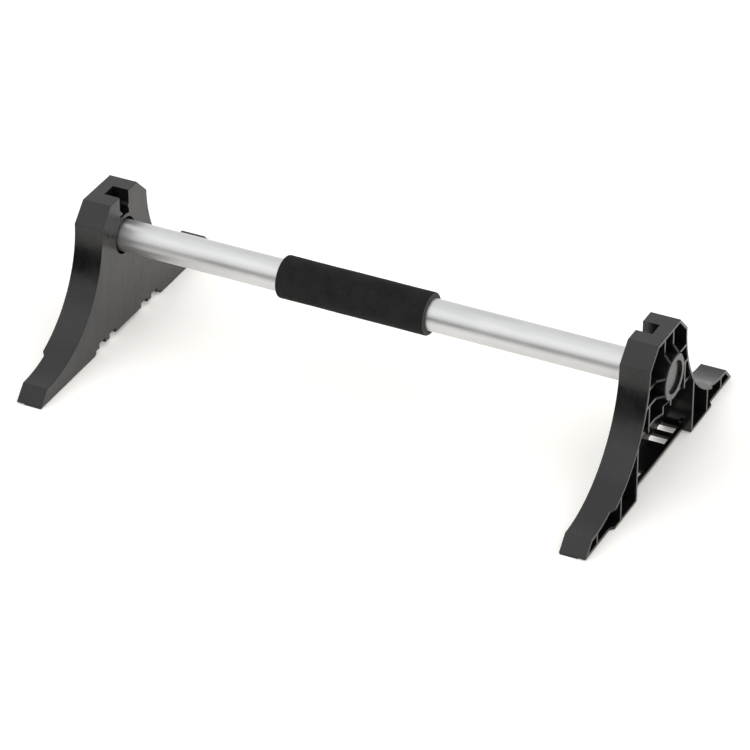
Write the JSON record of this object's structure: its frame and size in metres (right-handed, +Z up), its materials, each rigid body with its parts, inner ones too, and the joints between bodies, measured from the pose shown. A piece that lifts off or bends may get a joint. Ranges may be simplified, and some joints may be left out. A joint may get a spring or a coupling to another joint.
{
  "type": "pull up bar",
  "caption": "Low exercise bar: an aluminium tube with a foam grip, held between two ribbed plastic end brackets that stand flat or strap down.",
  "frame": {"origin": "on the floor, half-way between the two brackets, under the bar's axis", "axes": "+X along the bar to the right, +Y to the back, +Z up"},
  "size_m": [0.615, 0.3422, 0.148],
  "materials": {
    "bracket_plastic": "smooth moulded, low sheen",
    "tube_aluminium": "satin anodised",
    "grip_foam": "matt closed-cell foam",
    "bush_nylon": "moulded",
    "button_steel": "zinc plated",
    "spring_steel": "bare spring steel",
    "strip_rubber": "matt"
  },
  "bodies": {
    "frame": {"bar_tube": "tube_aluminium", "foam_grip": "grip_foam", "left_bracket": "bracket_plastic", "left_socket_bush": "bush_nylon", "left_button_spring": "spring_steel", "left_front_foot_strip": "strip_rubber", "left_back_foot_strip": "strip_rubber", "right_bracket": "bracket_plastic", "right_socket_bush": "bush_nylon", "right_button_spring": "spring_steel", "right_front_foot_strip": "strip_rubber", "right_back_foot_strip": "strip_rubber"},
    "left_button": {"left_lock_button": "button_steel"},
    "right_button": {"right_lock_button": "button_steel"}
  },
  "joints": [
    {"name": "left_button_press", "type": "slide", "parent": "frame", "child": "left_button", "axis": [0, 0, -1], "range_m": [0, 0.0061], "stiffness_N_per_m": 1500, "springref_m": -0.005, "deforming": ["left_button_spring"]},
    {"name": "right_button_press", "type": "slide", "parent": "frame", "child": "right_button", "axis": [0, 0, -1], "range_m": [0, 0.0061], "stiffness_N_per_m": 1500, "springref_m": -0.005, "deforming": ["right_button_spring"]}
  ]
}
